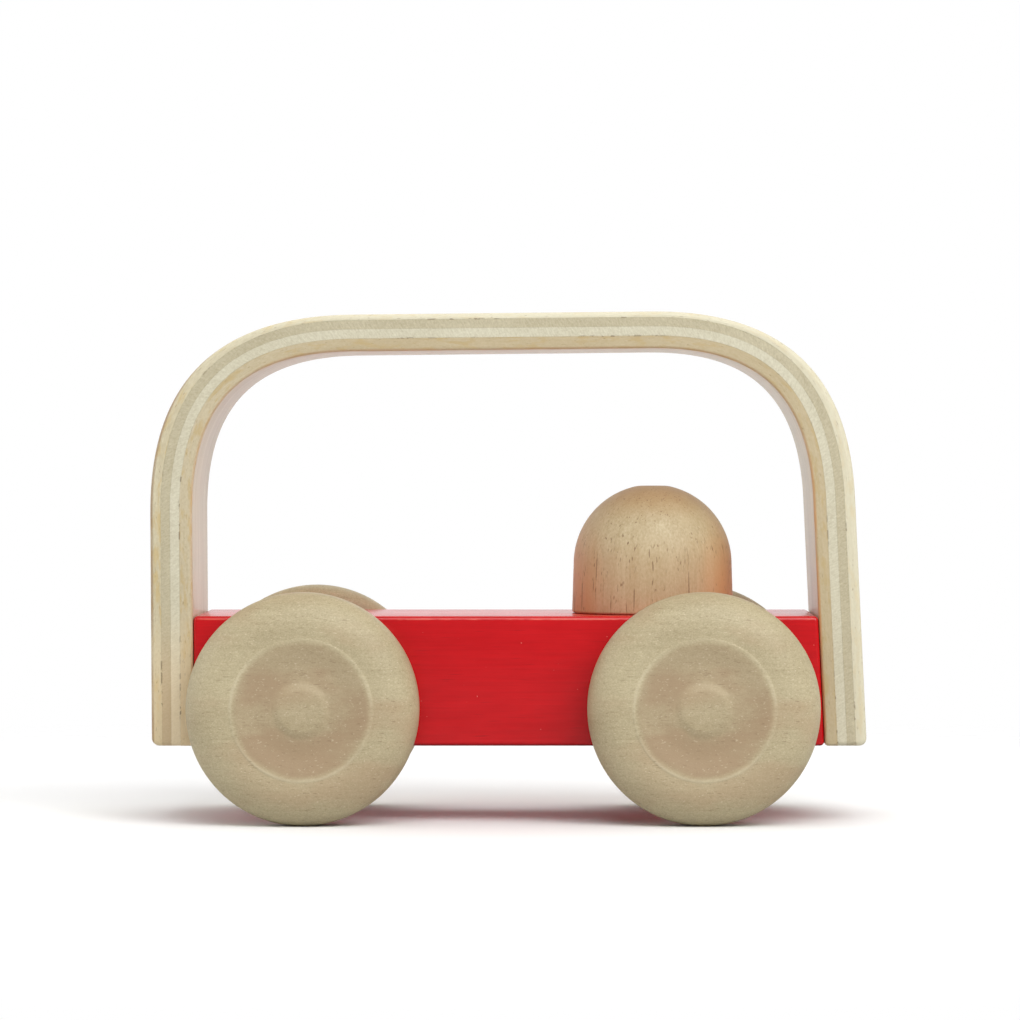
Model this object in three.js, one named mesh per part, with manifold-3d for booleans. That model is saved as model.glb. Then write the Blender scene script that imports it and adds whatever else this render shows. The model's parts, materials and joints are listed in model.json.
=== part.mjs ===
// Wooden push-along car: a moulded plywood arch over a painted block, a turned driver and four turned wheels.
// Millimetres. +X is forward, +Y is the car's left side, +Z is up, and the wheels stand on Z = 0.

import * as THREE from 'three';
import { mergeVertices } from 'three/addons/utils/BufferGeometryUtils.js';
import Module from 'manifold-3d';

const wasm = await Module();
wasm.setup();

// Painted block, flush with the arch on both sides
const BODY_WIDTH = 50;
const BLOCK_LENGTH = 148.4; // along the deck
const BLOCK_HEIGHT = 30.8;
const BLOCK_EDGE_ROUND = 1.05;

// Moulded arch, glued to the ends of the block
const ARCH_CLEAR_HEIGHT = 63.2; // deck to roof, in the middle of the deck
const REAR_LEG_LEAN = THREE.MathUtils.degToRad(0.4); // foot tucked in
const FRONT_LEG_LEAN = THREE.MathUtils.degToRad(2.7); // foot forward
const ROOF_SLOPE = THREE.MathUtils.degToRad(0.6); // rising to the front
const REAR_CORNER_REACH = 38.3; // from where leg and roof would meet to where the bend starts
const FRONT_CORNER_REACH = 36.5;
const CORNER_FULLNESS = 0.69; // 0 cuts straight across the corner, 1 fills it out
const INNER_PLY = 3;
const CORE_PLY = 2.1;
const OUTER_PLY = 2.5;
const CROWN_SANDING = 1.2; // taken off the outer ply along the roof
const ARCH_EDGE_ROUND = 1.2;
const CORNER_SOFTENING = 0.5; // radius left on the side faces at a corner, inside the edge rounding

// Driver, turned from one piece
const DRIVER_INSET = 38.9; // from the front end of the deck to the driver's axis
const DRIVER_HEIGHT = 30.7;
const DRIVER_BASE_DIAMETER = 39;
const DRIVER_DOME_DIAMETER = 38.3;
const DRIVER_FLAT_DIAMETER = 6.8; // small flat on top of the head
const DRIVER_BASE_ROUND = 0.6;

// Axles, turning freely in the block
const AXLE_DIAMETER = 8;
const AXLE_RISE = 9.2; // axle's centre above the block's underside
const REAR_AXLE_INSET = 26.4; // from the rear end of the deck
const FRONT_AXLE_INSET = 27.4; // from the front end of the deck
const AXLE_RUNNING_GAP = 0.3;

// Wheels, turned with a bead round a shallow dish and a raised hub
const WHEEL_DIAMETER = 55;
const WHEEL_THICKNESS = 15; // to the crest of the bead
const RIM_ROUND_WIDTH = 9.4; // across the face
const RIM_ROUND_DEPTH = 7.5; // along the axle
const INNER_RIM_ROUND = 3.5;
const BEAD_DIAMETER = 33.2; // along its crest
const BEAD_RISE = 0.2; // above the face
const BEAD_SLOPE = 0.6; // width of its outer side
const DISH_DEPTH = 1.1; // below the bead's crest
const DISH_SLOPE = 2.6; // width of the soft fall from the bead to the dish's floor
const HUB_DIAMETER = 14.4;
const HUB_RISE = 0.8;
const HUB_SHOULDER = 2.6; // width of the hub's soft shoulder
const SPACER_DIAMETER = 17; // boss that keeps the rim off the block
const SPACER_HEIGHT = 1;
const WHEEL_SIDE_PLAY = 0.5; // spacer to block
const WHEEL_BORE_DEPTH = 10.5; // from the spacer's face

// Dowels, glued in blind holes
const LEG_DOWEL_DIAMETER = 8;
const LEG_DOWEL_LENGTH = 22;
const LEG_DOWEL_IN_LEG = 6;
const LEG_DOWEL_SPACING = 26; // between the two in a leg
const DRIVER_DOWEL_DIAMETER = 8;
const DRIVER_DOWEL_LENGTH = 24; // half in the block, half in the driver
const DOWEL_CHAMFER = 0.8;

// Glued fits
const GLUE_LINE = 0.1; // between flat or curved faces
const GLUED_HOLE_GAP = 0.15; // round a dowel
const HOLE_END_GAP = 0.5; // beyond a dowel's end

// Facets
const BEND_STEPS = 10;
const EDGE_STEPS = 2;
const RIM_STEPS = 5;
const SWELL_STEPS = 4;
const DOME_STEPS = 9;
const WHEEL_SIDES = 36;
const DRIVER_SIDES = 32;
const DOWEL_SIDES = 16;

// Finishes
const RED_PAINT = { color: 0xc32026, roughness: 0.35 };
const INNER_VENEER = { color: 0xc7b892, roughness: 0.6 };
const PALE_CORE_VENEER = { color: 0xd0c6aa, roughness: 0.6 };
const DARK_CORE_VENEER = { color: 0xc4b997, roughness: 0.6 };
const OUTER_VENEER = { color: 0xd1c69f, roughness: 0.6 };
const DRIVER_WOOD = { color: 0xc1a77b, roughness: 0.45 };
const WHEEL_WOOD = { color: 0xb6a47c, roughness: 0.6 };
const DOWEL_WOOD = { color: 0xd8c49a, roughness: 0.7 };

const wheelRadius = WHEEL_DIAMETER / 2;
const legThickness = INNER_PLY + 2 * CORE_PLY + OUTER_PLY + 3 * GLUE_LINE;
const deckRear = -BLOCK_LENGTH / 2;
const deckFront = BLOCK_LENGTH / 2;
const driverX = deckFront - DRIVER_INSET;
const rearAxleX = deckRear + REAR_AXLE_INSET;
const frontAxleX = deckFront - FRONT_AXLE_INSET;

const at = (x, y) => new THREE.Vector2(x, y);
const along = (from, direction, distance) => from.clone().addScaledVector(direction, distance);

function piece(name, geometry, finish) {
  const mesh = new THREE.Mesh(geometry, new THREE.MeshStandardMaterial({ ...finish, metalness: 0 }));
  mesh.name = name;
  return mesh;
}

// Closed mesh to a solid that can be cut
function toSolid(geometry) {
  const bare = geometry.clone();
  bare.deleteAttribute('normal');
  bare.deleteAttribute('uv');
  const merged = mergeVertices(bare);
  return new wasm.Manifold(new wasm.Mesh({
    numProp: 3,
    vertProperties: new Float32Array(merged.attributes.position.array),
    triVerts: new Uint32Array(merged.index.array),
  }));
}

function toGeometry(solid) {
  const { vertProperties, triVerts } = solid.getMesh();
  const geometry = new THREE.BufferGeometry();
  geometry.setAttribute('position', new THREE.BufferAttribute(vertProperties, 3));
  geometry.setIndex(new THREE.BufferAttribute(triVerts, 1));
  const faceted = geometry.toNonIndexed();
  faceted.computeVertexNormals();
  return faceted;
}

// Side outline (X, Z) carried across the car's width, with its side edges rounded over
function acrossCar(outline, width, edgeRound) {
  const geometry = new THREE.ExtrudeGeometry(new THREE.Shape(outline), {
    depth: width - 2 * edgeRound,
    bevelEnabled: edgeRound > 0,
    bevelThickness: edgeRound,
    bevelSize: edgeRound,
    bevelOffset: -edgeRound,
    bevelSegments: EDGE_STEPS,
  });
  geometry.translate(0, 0, edgeRound - width / 2);
  return geometry.rotateX(Math.PI / 2);
}

// Joins stretches into a closed outline and rounds the corners where they meet
function softOutline(stretches, radius) {
  const outline = stretches.flat();
  const corners = new Set(stretches.flatMap((stretch) => [stretch.at(0), stretch.at(-1)]));
  return outline.flatMap((point, i) => {
    if (!corners.has(point)) return [point];
    const back = outline.at(i - 1).clone().sub(point).normalize();
    const ahead = outline.at((i + 1) % outline.length).clone().sub(point).normalize();
    const halfAngle = back.angleTo(ahead) / 2;
    const centre = along(point, back.clone().add(ahead).normalize(), radius / Math.sin(halfAngle));
    const start = along(point, back, radius / Math.tan(halfAngle)).sub(centre).angle();
    const end = along(point, ahead, radius / Math.tan(halfAngle)).sub(centre).angle();
    const turn = THREE.MathUtils.euclideanModulo(end - start + Math.PI, 2 * Math.PI) - Math.PI;
    const arc = new THREE.EllipseCurve(centre.x, centre.y, radius, radius, start, start + turn, turn < 0);
    return arc.getPoints(EDGE_STEPS);
  });
}

// Lines of the arch's inside: a point on each, with the way down a leg and the way forward along the roof
const rearLeg = {
  point: at(deckRear - GLUE_LINE, BLOCK_HEIGHT),
  down: at(Math.sin(REAR_LEG_LEAN), -Math.cos(REAR_LEG_LEAN)),
  outward: at(-Math.cos(REAR_LEG_LEAN), -Math.sin(REAR_LEG_LEAN)),
};
const frontLeg = {
  point: at(deckFront + GLUE_LINE, BLOCK_HEIGHT),
  down: at(Math.sin(FRONT_LEG_LEAN), -Math.cos(FRONT_LEG_LEAN)),
  outward: at(Math.cos(FRONT_LEG_LEAN), Math.sin(FRONT_LEG_LEAN)),
};
const roof = {
  point: at(0, BLOCK_HEIGHT + ARCH_CLEAR_HEIGHT),
  forward: at(Math.cos(ROOF_SLOPE), Math.sin(ROOF_SLOPE)),
};

// Where a line down a leg through a point reaches a height
const downTo = (point, leg, height) => along(point, leg.down, (height - point.y) / leg.down.y);

// Where a leg's line would meet the roof's line
function cornerOf(leg) {
  const gap = roof.point.clone().sub(leg.point);
  return along(leg.point, leg.down, gap.cross(roof.forward) / leg.down.cross(roof.forward));
}

// Bend of the arch's inside round a corner
function bendStations(start, corner, end) {
  const curve = new THREE.CubicBezierCurve(
    start,
    start.clone().lerp(corner, CORNER_FULLNESS),
    end.clone().lerp(corner, CORNER_FULLNESS),
    end,
  );
  return Array.from({ length: BEND_STEPS + 1 }, (_, i) => {
    const tangent = curve.getTangent(i / BEND_STEPS);
    return { point: curve.getPoint(i / BEND_STEPS), outward: at(-tangent.y, tangent.x) };
  });
}

// The arch's inside from the rear foot to the front foot, with the outward direction at each station
function archStations() {
  const rearCorner = cornerOf(rearLeg);
  const frontCorner = cornerOf(frontLeg);
  return [
    rearLeg,
    ...bendStations(
      along(rearCorner, rearLeg.down, REAR_CORNER_REACH),
      rearCorner,
      along(rearCorner, roof.forward, REAR_CORNER_REACH),
    ),
    ...bendStations(
      along(frontCorner, roof.forward, -FRONT_CORNER_REACH),
      frontCorner,
      along(frontCorner, frontLeg.down, FRONT_CORNER_REACH),
    ),
    frontLeg,
  ];
}

// Two stretches of outline, offset from the arch's inside by functions of the outward direction,
// with both feet cut level at a height
function archOutline(footHeight, innerOffset, outerOffset) {
  const stations = archStations();
  const edge = (offset) => stations.map(({ point, outward, down }) => {
    const shifted = along(point, outward, offset(outward));
    return down ? downTo(shifted, { down }, footHeight) : shifted;
  });
  return [edge(innerOffset), edge(outerOffset).reverse()];
}

// The outer ply is sanded where it faces up, and keeps its full thickness on the legs
const sandedFace = (outward) => legThickness - CROWN_SANDING * Math.max(outward.y, 0) ** 3;

const footRound = ARCH_EDGE_ROUND + CORNER_SOFTENING;
const finishedOutline = softOutline(archOutline(0, () => 0, sandedFace), footRound);
const finishedArch = toSolid(acrossCar(finishedOutline, BODY_WIDTH, ARCH_EDGE_ROUND));
const overallMiddle = new THREE.Box2().setFromPoints(finishedOutline).getCenter(at()).x;

// Dowels and axles are round pins with chamfered ends
function pin(name, diameter, length) {
  const radius = diameter / 2;
  const half = length / 2;
  const profile = [
    at(0, -half),
    at(radius - DOWEL_CHAMFER, -half),
    at(radius, DOWEL_CHAMFER - half),
    at(radius, half - DOWEL_CHAMFER),
    at(radius - DOWEL_CHAMFER, half),
    at(0, half),
  ];
  const mesh = piece(name, new THREE.LatheGeometry(profile, DOWEL_SIDES), DOWEL_WOOD);
  mesh.userData = { radius, length };
  return mesh;
}

// Cuts the hole that a pin sits in, larger by a gap round it and beyond its ends
function drill(solid, pinMesh, sideGap, endGap) {
  const { radius, length } = pinMesh.userData;
  const boreRadius = radius + sideGap;
  const bore = new THREE.CylinderGeometry(boreRadius, boreRadius, length + 2 * endGap, DOWEL_SIDES);
  pinMesh.updateMatrix();
  return solid.subtract(toSolid(bore.applyMatrix4(pinMesh.matrix)));
}

// Two dowels stand square to a leg's inside, halfway up the block, one on each side of the car
function legDowels(end, leg) {
  const seat = downTo(leg.point, leg, BLOCK_HEIGHT / 2);
  const middle = along(seat, leg.outward, LEG_DOWEL_IN_LEG - LEG_DOWEL_LENGTH / 2);
  return [['left', 1], ['right', -1]].map(([side, sign]) => {
    const dowel = pin(`${end}_leg_dowel_${side}`, LEG_DOWEL_DIAMETER, LEG_DOWEL_LENGTH);
    dowel.position.set(middle.x, sign * LEG_DOWEL_SPACING / 2, middle.y);
    dowel.rotation.set(0, -leg.outward.angle(), -Math.PI / 2, 'YXZ');
    return dowel;
  });
}

const dowelsInLegs = [...legDowels('rear', rearLeg), ...legDowels('front', frontLeg)];

const driverDowel = pin('driver_dowel', DRIVER_DOWEL_DIAMETER, DRIVER_DOWEL_LENGTH);
driverDowel.position.set(driverX, 0, BLOCK_HEIGHT);
driverDowel.rotation.x = Math.PI / 2;

// Four plies from the inside out, each trimmed from a blank to the finished arch
function archPlies() {
  const plies = [
    ['arch_inner_ply', INNER_PLY, INNER_VENEER],
    ['arch_inner_core_ply', CORE_PLY, PALE_CORE_VENEER],
    ['arch_outer_core_ply', CORE_PLY, DARK_CORE_VENEER],
    ['arch_outer_ply', OUTER_PLY, OUTER_VENEER],
  ];
  let inside = 0;
  return plies.map(([name, thickness, finish], i) => {
    const outside = inside + thickness;
    const from = i === 0 ? -footRound : inside;
    const to = i === plies.length - 1 ? outside + footRound : outside;
    inside = outside + GLUE_LINE;
    const outline = archOutline(-footRound, () => from, () => to).flat();
    const blank = toSolid(acrossCar(outline, BODY_WIDTH + 2 * footRound, 0));
    const drilled = dowelsInLegs.reduce(
      (solid, dowel) => drill(solid, dowel, GLUED_HOLE_GAP, HOLE_END_GAP),
      blank.intersect(finishedArch),
    );
    return piece(name, toGeometry(drilled), finish);
  });
}

// Axles reach into both wheels
const axleLength = BODY_WIDTH + 2 * (WHEEL_SIDE_PLAY + WHEEL_BORE_DEPTH - HOLE_END_GAP);

function axleAt(end, x) {
  const axle = pin(`${end}_axle`, AXLE_DIAMETER, axleLength);
  axle.position.set(x, 0, AXLE_RISE);
  return axle;
}

const axles = { rear: axleAt('rear', rearAxleX), front: axleAt('front', frontAxleX) };

// Block with ends cut parallel to the legs, axle bores right through and blind dowel holes
function chassisBlock() {
  const underside = [
    at(deckRear + BLOCK_HEIGHT * Math.tan(REAR_LEG_LEAN), 0),
    at(deckFront + BLOCK_HEIGHT * Math.tan(FRONT_LEG_LEAN), 0),
  ];
  const deck = [at(deckFront, BLOCK_HEIGHT), at(deckRear, BLOCK_HEIGHT)];
  const outline = softOutline([underside, deck], BLOCK_EDGE_ROUND + CORNER_SOFTENING);
  let block = toSolid(acrossCar(outline, BODY_WIDTH, BLOCK_EDGE_ROUND));
  for (const axle of Object.values(axles)) {
    block = drill(block, axle, AXLE_RUNNING_GAP, HOLE_END_GAP);
  }
  for (const dowel of [...dowelsInLegs, driverDowel]) {
    block = drill(block, dowel, GLUED_HOLE_GAP, HOLE_END_GAP);
  }
  return piece('chassis_block', toGeometry(block), RED_PAINT);
}

// Quarter or larger arc of a turned profile, with its own width and height
function turnedArc(centre, width, height, from, to, steps) {
  return new THREE.EllipseCurve(centre.x, centre.y, width, height, from, to).getPoints(steps);
}

// Domed figure with slightly tapering sides and a blind hole for its dowel
function driver() {
  const baseRadius = DRIVER_BASE_DIAMETER / 2;
  const domeRadius = DRIVER_DOME_DIAMETER / 2;
  const flatRadius = DRIVER_FLAT_DIAMETER / 2;
  const boreRadius = DRIVER_DOWEL_DIAMETER / 2 + GLUED_HOLE_GAP;
  const boreDepth = DRIVER_DOWEL_LENGTH / 2 + HOLE_END_GAP - GLUE_LINE;
  const baseEdge = at(baseRadius - DRIVER_BASE_ROUND, DRIVER_BASE_ROUND);
  const domeCentre = at(0, DRIVER_HEIGHT - Math.sqrt(domeRadius ** 2 - flatRadius ** 2));
  const flatAngle = Math.acos(flatRadius / domeRadius);
  const profile = [
    at(0, boreDepth),
    at(boreRadius, boreDepth),
    at(boreRadius, 0),
    ...turnedArc(baseEdge, DRIVER_BASE_ROUND, DRIVER_BASE_ROUND, -Math.PI / 2, 0, EDGE_STEPS),
    ...turnedArc(domeCentre, domeRadius, domeRadius, 0, flatAngle, DOME_STEPS),
    at(0, DRIVER_HEIGHT),
  ];
  const figure = piece('driver', new THREE.LatheGeometry(profile, DRIVER_SIDES), DRIVER_WOOD);
  figure.position.set(driverX, 0, BLOCK_HEIGHT + GLUE_LINE);
  figure.rotation.x = Math.PI / 2;
  return figure;
}

// Soft S from one level to another
function swell(from, to, steps) {
  const shares = Array.from({ length: steps + 1 }, (_, i) => i / steps);
  return shares.map((share) => at(
    THREE.MathUtils.lerp(from.x, to.x, share),
    THREE.MathUtils.lerp(from.y, to.y, THREE.MathUtils.smoothstep(share, 0, 1)),
  ));
}

// Half section of a wheel from the blind bore round the tread to the hub, with the outer face towards +Y
function wheelProfile() {
  const boreRadius = AXLE_DIAMETER / 2 + GLUED_HOLE_GAP;
  const boreEnd = WHEEL_BORE_DEPTH - SPACER_HEIGHT;
  const spacerRadius = SPACER_DIAMETER / 2;
  const face = WHEEL_THICKNESS - BEAD_RISE;
  const beadRadius = BEAD_DIAMETER / 2;
  const dishFloor = WHEEL_THICKNESS - DISH_DEPTH;
  const hubRadius = HUB_DIAMETER / 2;
  const hubTop = dishFloor + HUB_RISE;
  const innerEdge = at(wheelRadius - INNER_RIM_ROUND, INNER_RIM_ROUND);
  const outerEdge = at(wheelRadius - RIM_ROUND_WIDTH, face - RIM_ROUND_DEPTH);
  const crest = at(beadRadius, WHEEL_THICKNESS);
  return [
    at(0, boreEnd),
    at(boreRadius, boreEnd),
    at(boreRadius, -SPACER_HEIGHT),
    at(spacerRadius, -SPACER_HEIGHT),
    at(spacerRadius, 0),
    ...turnedArc(innerEdge, INNER_RIM_ROUND, INNER_RIM_ROUND, -Math.PI / 2, 0, EDGE_STEPS),
    ...turnedArc(outerEdge, RIM_ROUND_WIDTH, RIM_ROUND_DEPTH, 0, Math.PI / 2, RIM_STEPS),
    ...swell(at(beadRadius + BEAD_SLOPE, face), crest, EDGE_STEPS),
    ...swell(crest, at(beadRadius - DISH_SLOPE, dishFloor), SWELL_STEPS).slice(1),
    ...swell(at(hubRadius, dishFloor), at(hubRadius - HUB_SHOULDER, hubTop), SWELL_STEPS),
    at(0, hubTop),
  ];
}

// A wheelset is an axle with a wheel glued on each end
function wheelset(end, axle) {
  const set = new THREE.Group();
  set.position.set(axle.position.x - overallMiddle, 0, wheelRadius);
  axle.position.set(0, 0, 0);
  set.add(axle);
  for (const [side, sign] of [['left', 1], ['right', -1]]) {
    const wheel = piece(`${end}_wheel_${side}`, new THREE.LatheGeometry(wheelProfile(), WHEEL_SIDES), WHEEL_WOOD);
    wheel.position.y = sign * (BODY_WIDTH / 2 + WHEEL_SIDE_PLAY + SPACER_HEIGHT);
    wheel.rotation.z = sign > 0 ? 0 : Math.PI;
    set.add(wheel);
  }
  return set;
}

const body = new THREE.Group();
body.position.set(-overallMiddle, 0, wheelRadius - AXLE_RISE);
body.add(chassisBlock(), ...archPlies(), driver(), driverDowel, ...dowelsInLegs);

const car = new THREE.Group();
car.add(body, wheelset('rear', axles.rear), wheelset('front', axles.front));

export default car;
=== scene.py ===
"""Looks of a wooden push-along car: plywood arch, painted block, turned driver and wheels, white studio."""
import json
from math import acos, cos, pi, radians, sin, sqrt, tan

import bmesh
import bpy
import numpy as np
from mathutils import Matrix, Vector


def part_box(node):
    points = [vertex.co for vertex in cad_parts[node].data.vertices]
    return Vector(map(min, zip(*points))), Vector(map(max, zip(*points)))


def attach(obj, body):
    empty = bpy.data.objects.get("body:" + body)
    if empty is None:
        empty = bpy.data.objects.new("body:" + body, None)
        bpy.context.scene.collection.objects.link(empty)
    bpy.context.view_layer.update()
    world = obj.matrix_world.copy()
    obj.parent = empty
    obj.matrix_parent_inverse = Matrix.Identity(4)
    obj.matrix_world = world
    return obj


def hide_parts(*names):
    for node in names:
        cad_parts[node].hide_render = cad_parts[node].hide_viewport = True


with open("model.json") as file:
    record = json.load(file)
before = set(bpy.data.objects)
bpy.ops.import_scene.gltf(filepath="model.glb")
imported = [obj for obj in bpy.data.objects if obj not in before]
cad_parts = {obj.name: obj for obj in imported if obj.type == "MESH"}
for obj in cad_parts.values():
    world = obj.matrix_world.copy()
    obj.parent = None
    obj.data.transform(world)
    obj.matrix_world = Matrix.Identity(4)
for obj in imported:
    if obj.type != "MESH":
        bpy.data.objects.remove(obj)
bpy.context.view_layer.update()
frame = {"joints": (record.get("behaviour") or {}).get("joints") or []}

MM = 0.001

# Arch, repeated from the part
GLUE_LINE = 0.1 * MM
REAR_LEG_LEAN = radians(0.4)
FRONT_LEG_LEAN = radians(2.7)
ROOF_SLOPE = radians(0.6)
ARCH_CLEAR_HEIGHT = 63.2 * MM
REAR_CORNER_REACH = 38.3 * MM
FRONT_CORNER_REACH = 36.5 * MM
CORNER_FULLNESS = 0.69
INNER_PLY = 3.0 * MM
CORE_PLY = 2.1 * MM
OUTER_PLY = 2.5 * MM
CROWN_SANDING = 1.2 * MM
CROWN_NARROWNESS = 3
ARCH_EDGE_ROUND = 1.2 * MM
REAR_AXLE_INSET = 26.4 * MM
FRONT_AXLE_INSET = 27.4 * MM

# Arch, for its looks
OUTER_FOOT_ROUND = 1.8 * MM
INNER_FOOT_ROUND = 0.8 * MM
GLUE_SQUEEZE = 0.04 * MM  # how far each ply's face reaches into the glue line
OUTER_FACE_INSET = 0.01 * MM  # keeps the outer face inside the part's box

# Block
BLOCK_EDGE_ROUND = 1.05 * MM

# Driver
DRIVER_DOME_DIAMETER = 38.3 * MM
DRIVER_FLAT_DIAMETER = 6.8 * MM
DRIVER_BASE_ROUND = 0.6 * MM
DRIVER_FLAT_ROUND = 0.5 * MM

# Wheels
WHEEL_THICKNESS = 15.0 * MM
RIM_ROUND_WIDTH = 9.4 * MM
RIM_ROUND_DEPTH = 7.5 * MM
INNER_RIM_ROUND = 3.5 * MM
BEAD_DIAMETER = 33.2 * MM
BEAD_RISE = 0.15 * MM
BEAD_SLOPE = 0.6 * MM
DISH_DEPTH = 0.85 * MM
DISH_SLOPE = 6.5 * MM
HUB_DIAMETER = 14.4 * MM
HUB_RISE = 0.6 * MM
HUB_SHOULDER = 2.6 * MM
SPACER_DIAMETER = 17.0 * MM
SPACER_HEIGHT = 1.0 * MM
SPACER_EDGE_ROUND = 0.25 * MM
WHEEL_BORE_DEPTH = 10.5 * MM

# Dowels and their holes
LEG_DOWEL_LENGTH = 22.0 * MM
DOWEL_CHAMFER = 0.8 * MM
GLUED_HOLE_GAP = 0.15 * MM
RUNNING_GAP = 0.3 * MM
HOLE_END_GAP = 0.5 * MM

# Fineness of the shapes
BEND_STEPS = 40
EDGE_STEPS = 5
INNER_RIM_STEPS = 8
HUB_STEPS = 12
DISH_STEPS = 16
RIM_STEPS = 24
DOME_STEPS = 32
PIN_SIDES = 48
DRIVER_SIDES = 96
FLOOR_SIDES = 96
WHEEL_SIDES = 128
SMOOTH_ANGLE = radians(35)
MERGE_DISTANCE = 0.001 * MM
EDGE_SKIN = GLUE_LINE / 5  # how near a face a point counts as on it

# Photograph's camera: a long lens, level with the upper part of the car
IMAGE_SIDE = 1020
SENSOR_WIDTH = 36.0
CAMERA_DISTANCE = 1150 * MM  # from the car's near face
NEAR_FACE_SCALE = 0.2373 * MM  # per pixel of the photograph
ORIGIN_PIXEL = (508.3, 823.1)  # where the frame's origin, brought forward to the near face, falls
LEVEL_PIXEL = (566.0, 451.0)  # what the lens looks straight at

# Studio
WHITE = (1.0, 1.0, 1.0, 1.0)
FLOOR_RADIUS = 1.2
SHADOW_START = 0.2  # distance at which the floor starts to fade for the camera
SHADOW_END = 0.42  # distance at which it is gone
FLOOR_BOUNCE = (0.72, 0.72, 0.72, 1.0)
FLOOR_SHEEN = (0.25, 0.25, 0.25, 1.0)
ROOM_LIGHT = 0.2
BACKDROP_LIGHT = 1.0
LAMP_TARGET = (0, 0, 0.06)
LAMPS = (  # each one's name, place and side in metres, and power in watts
    ("key_lamp", (0.8, -0.85, 0.9), 0.8, 8.5),
    ("top_lamp", (0.1, 0.1, 1.2), 1.5, 4.0),
    ("front_lamp", (0.1, -0.9, 1.0), 0.9, 7.0),
    ("left_lamp", (-1.2, -0.15, 0.6), 0.8, 4.0),
)

ACROSS = Vector((0, 1, 0))
UPRIGHT = Vector((0, 0, 1))


# Places taken from the frame

def size_of(node):
    low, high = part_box(node)
    return high - low


def middle_of(node):
    low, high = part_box(node)
    return (low + high) / 2


def pin_radius(node):
    return min(size_of(node)) / 2


rear_axle, front_axle = (Vector(joint["pos_m"]) for joint in frame["joints"])
block_low, block_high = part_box("chassis_block")
deck_rear = rear_axle.x - REAR_AXLE_INSET
deck_front = front_axle.x + FRONT_AXLE_INSET
half_width = block_high.y
leg_thickness = INNER_PLY + 2 * CORE_PLY + OUTER_PLY + 3 * GLUE_LINE


# Modelling by hand

def leave_edit_mode():
    if bpy.context.mode != "OBJECT":
        bpy.ops.object.mode_set(mode="OBJECT")


def deselect_all():
    leave_edit_mode()
    bpy.ops.object.select_all(action="DESELECT")


def select_alone(piece):
    deselect_all()
    piece.select_set(True)
    bpy.context.view_layer.objects.active = piece


def draw_line(points):
    """Draws a line of edges: a tiny plane, merged to a point and extruded from each point to the next."""
    bpy.ops.mesh.primitive_plane_add(size=MM, location=points[0])
    if bpy.context.mode == "OBJECT":
        bpy.ops.object.mode_set(mode="EDIT")
    bpy.ops.mesh.select_mode(type="VERT")
    bpy.ops.mesh.merge(type="CENTER")
    for here, there in zip(points, points[1:]):
        bpy.ops.mesh.extrude_vertices_move(TRANSFORM_OT_translate={"value": there - here})


def close_up():
    """Merges doubles and turns every face outwards, in edit mode."""
    bpy.ops.mesh.select_all(action="SELECT")
    bpy.ops.mesh.remove_doubles(threshold=MERGE_DISTANCE)
    bpy.ops.mesh.normals_make_consistent(inside=False)


def select_edges(chosen):
    """Selects the edges, in edit mode, whose two ends a test picks."""
    bpy.ops.mesh.select_mode(type="EDGE")
    bpy.ops.mesh.select_all(action="DESELECT")
    mesh = bmesh.from_edit_mesh(bpy.context.object.data)
    to_world = bpy.context.object.matrix_world
    for edge in mesh.edges:
        edge.select_set(chosen(*(to_world @ corner.co for corner in edge.verts)))
    bmesh.update_edit_mesh(bpy.context.object.data)


def round_edges(chosen, reach):
    select_edges(chosen)
    bpy.ops.mesh.bevel(offset=reach, segments=EDGE_STEPS, affect="EDGES", clamp_overlap=True)


def arc(centre, width, height, start, end, steps=EDGE_STEPS):
    """Points along part of an ellipse, as (radius, height) pairs."""
    angles = [start + (end - start) * i / steps for i in range(steps + 1)]
    return [(centre[0] + width * cos(a), centre[1] + height * sin(a)) for a in angles]


def swell(start, end, steps=EDGE_STEPS):
    """Points along a soft S from one level to another, as (radius, height) pairs."""
    width, rise = end[0] - start[0], end[1] - start[1]
    shares = [i / steps for i in range(steps + 1)]
    return [(start[0] + width * t, start[1] + rise * t * t * (3 - 2 * t)) for t in shares]


def turn(profile, sides):
    """Turns a half section of (radius, height) pairs about the Y axis, as on a lathe."""
    deselect_all()
    draw_line([Vector((radius, height, 0)) for radius, height in profile])
    piece = bpy.context.object
    bpy.ops.object.mode_set(mode="OBJECT")
    bpy.ops.object.transform_apply(location=True)
    bpy.ops.object.mode_set(mode="EDIT")
    bpy.ops.mesh.select_all(action="SELECT")
    bpy.ops.mesh.spin(steps=sides, angle=2 * pi, center=(0, 0, 0), axis=ACROSS)
    close_up()
    leave_edit_mode()
    return piece


def drill(piece, middle, direction, radius, length):
    """Cuts a round hole."""
    deselect_all()
    bpy.ops.mesh.primitive_cylinder_add(
        vertices=PIN_SIDES,
        radius=radius,
        depth=length,
        location=middle,
        rotation=direction.to_track_quat("Z", "Y").to_euler(),
    )
    cutter = bpy.context.object
    select_alone(piece)
    hole = piece.modifiers.new("hole", "BOOLEAN")
    hole.operation = "DIFFERENCE"
    hole.object = cutter
    bpy.ops.object.modifier_apply(modifier=hole.name)
    bpy.data.objects.remove(cutter)


def drill_for_dowel(piece, node, direction, length):
    """Cuts the glued hole of a dowel, a little wider and longer than the dowel."""
    drill(piece, middle_of(node), direction, pin_radius(node) + GLUED_HOLE_GAP, length + 2 * HOLE_END_GAP)


def settle(piece, name, location=(0, 0, 0), rotation=(0, 0, 0)):
    """Moves a finished piece to its place for good, names it and shades its round faces smooth."""
    piece.location = location
    piece.rotation_euler = rotation
    select_alone(piece)
    bpy.ops.object.transform_apply(location=True, rotation=True, scale=True)
    piece.name = name
    piece.data.name = name
    bpy.ops.object.shade_smooth_by_angle(angle=SMOOTH_ANGLE)
    return piece


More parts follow.
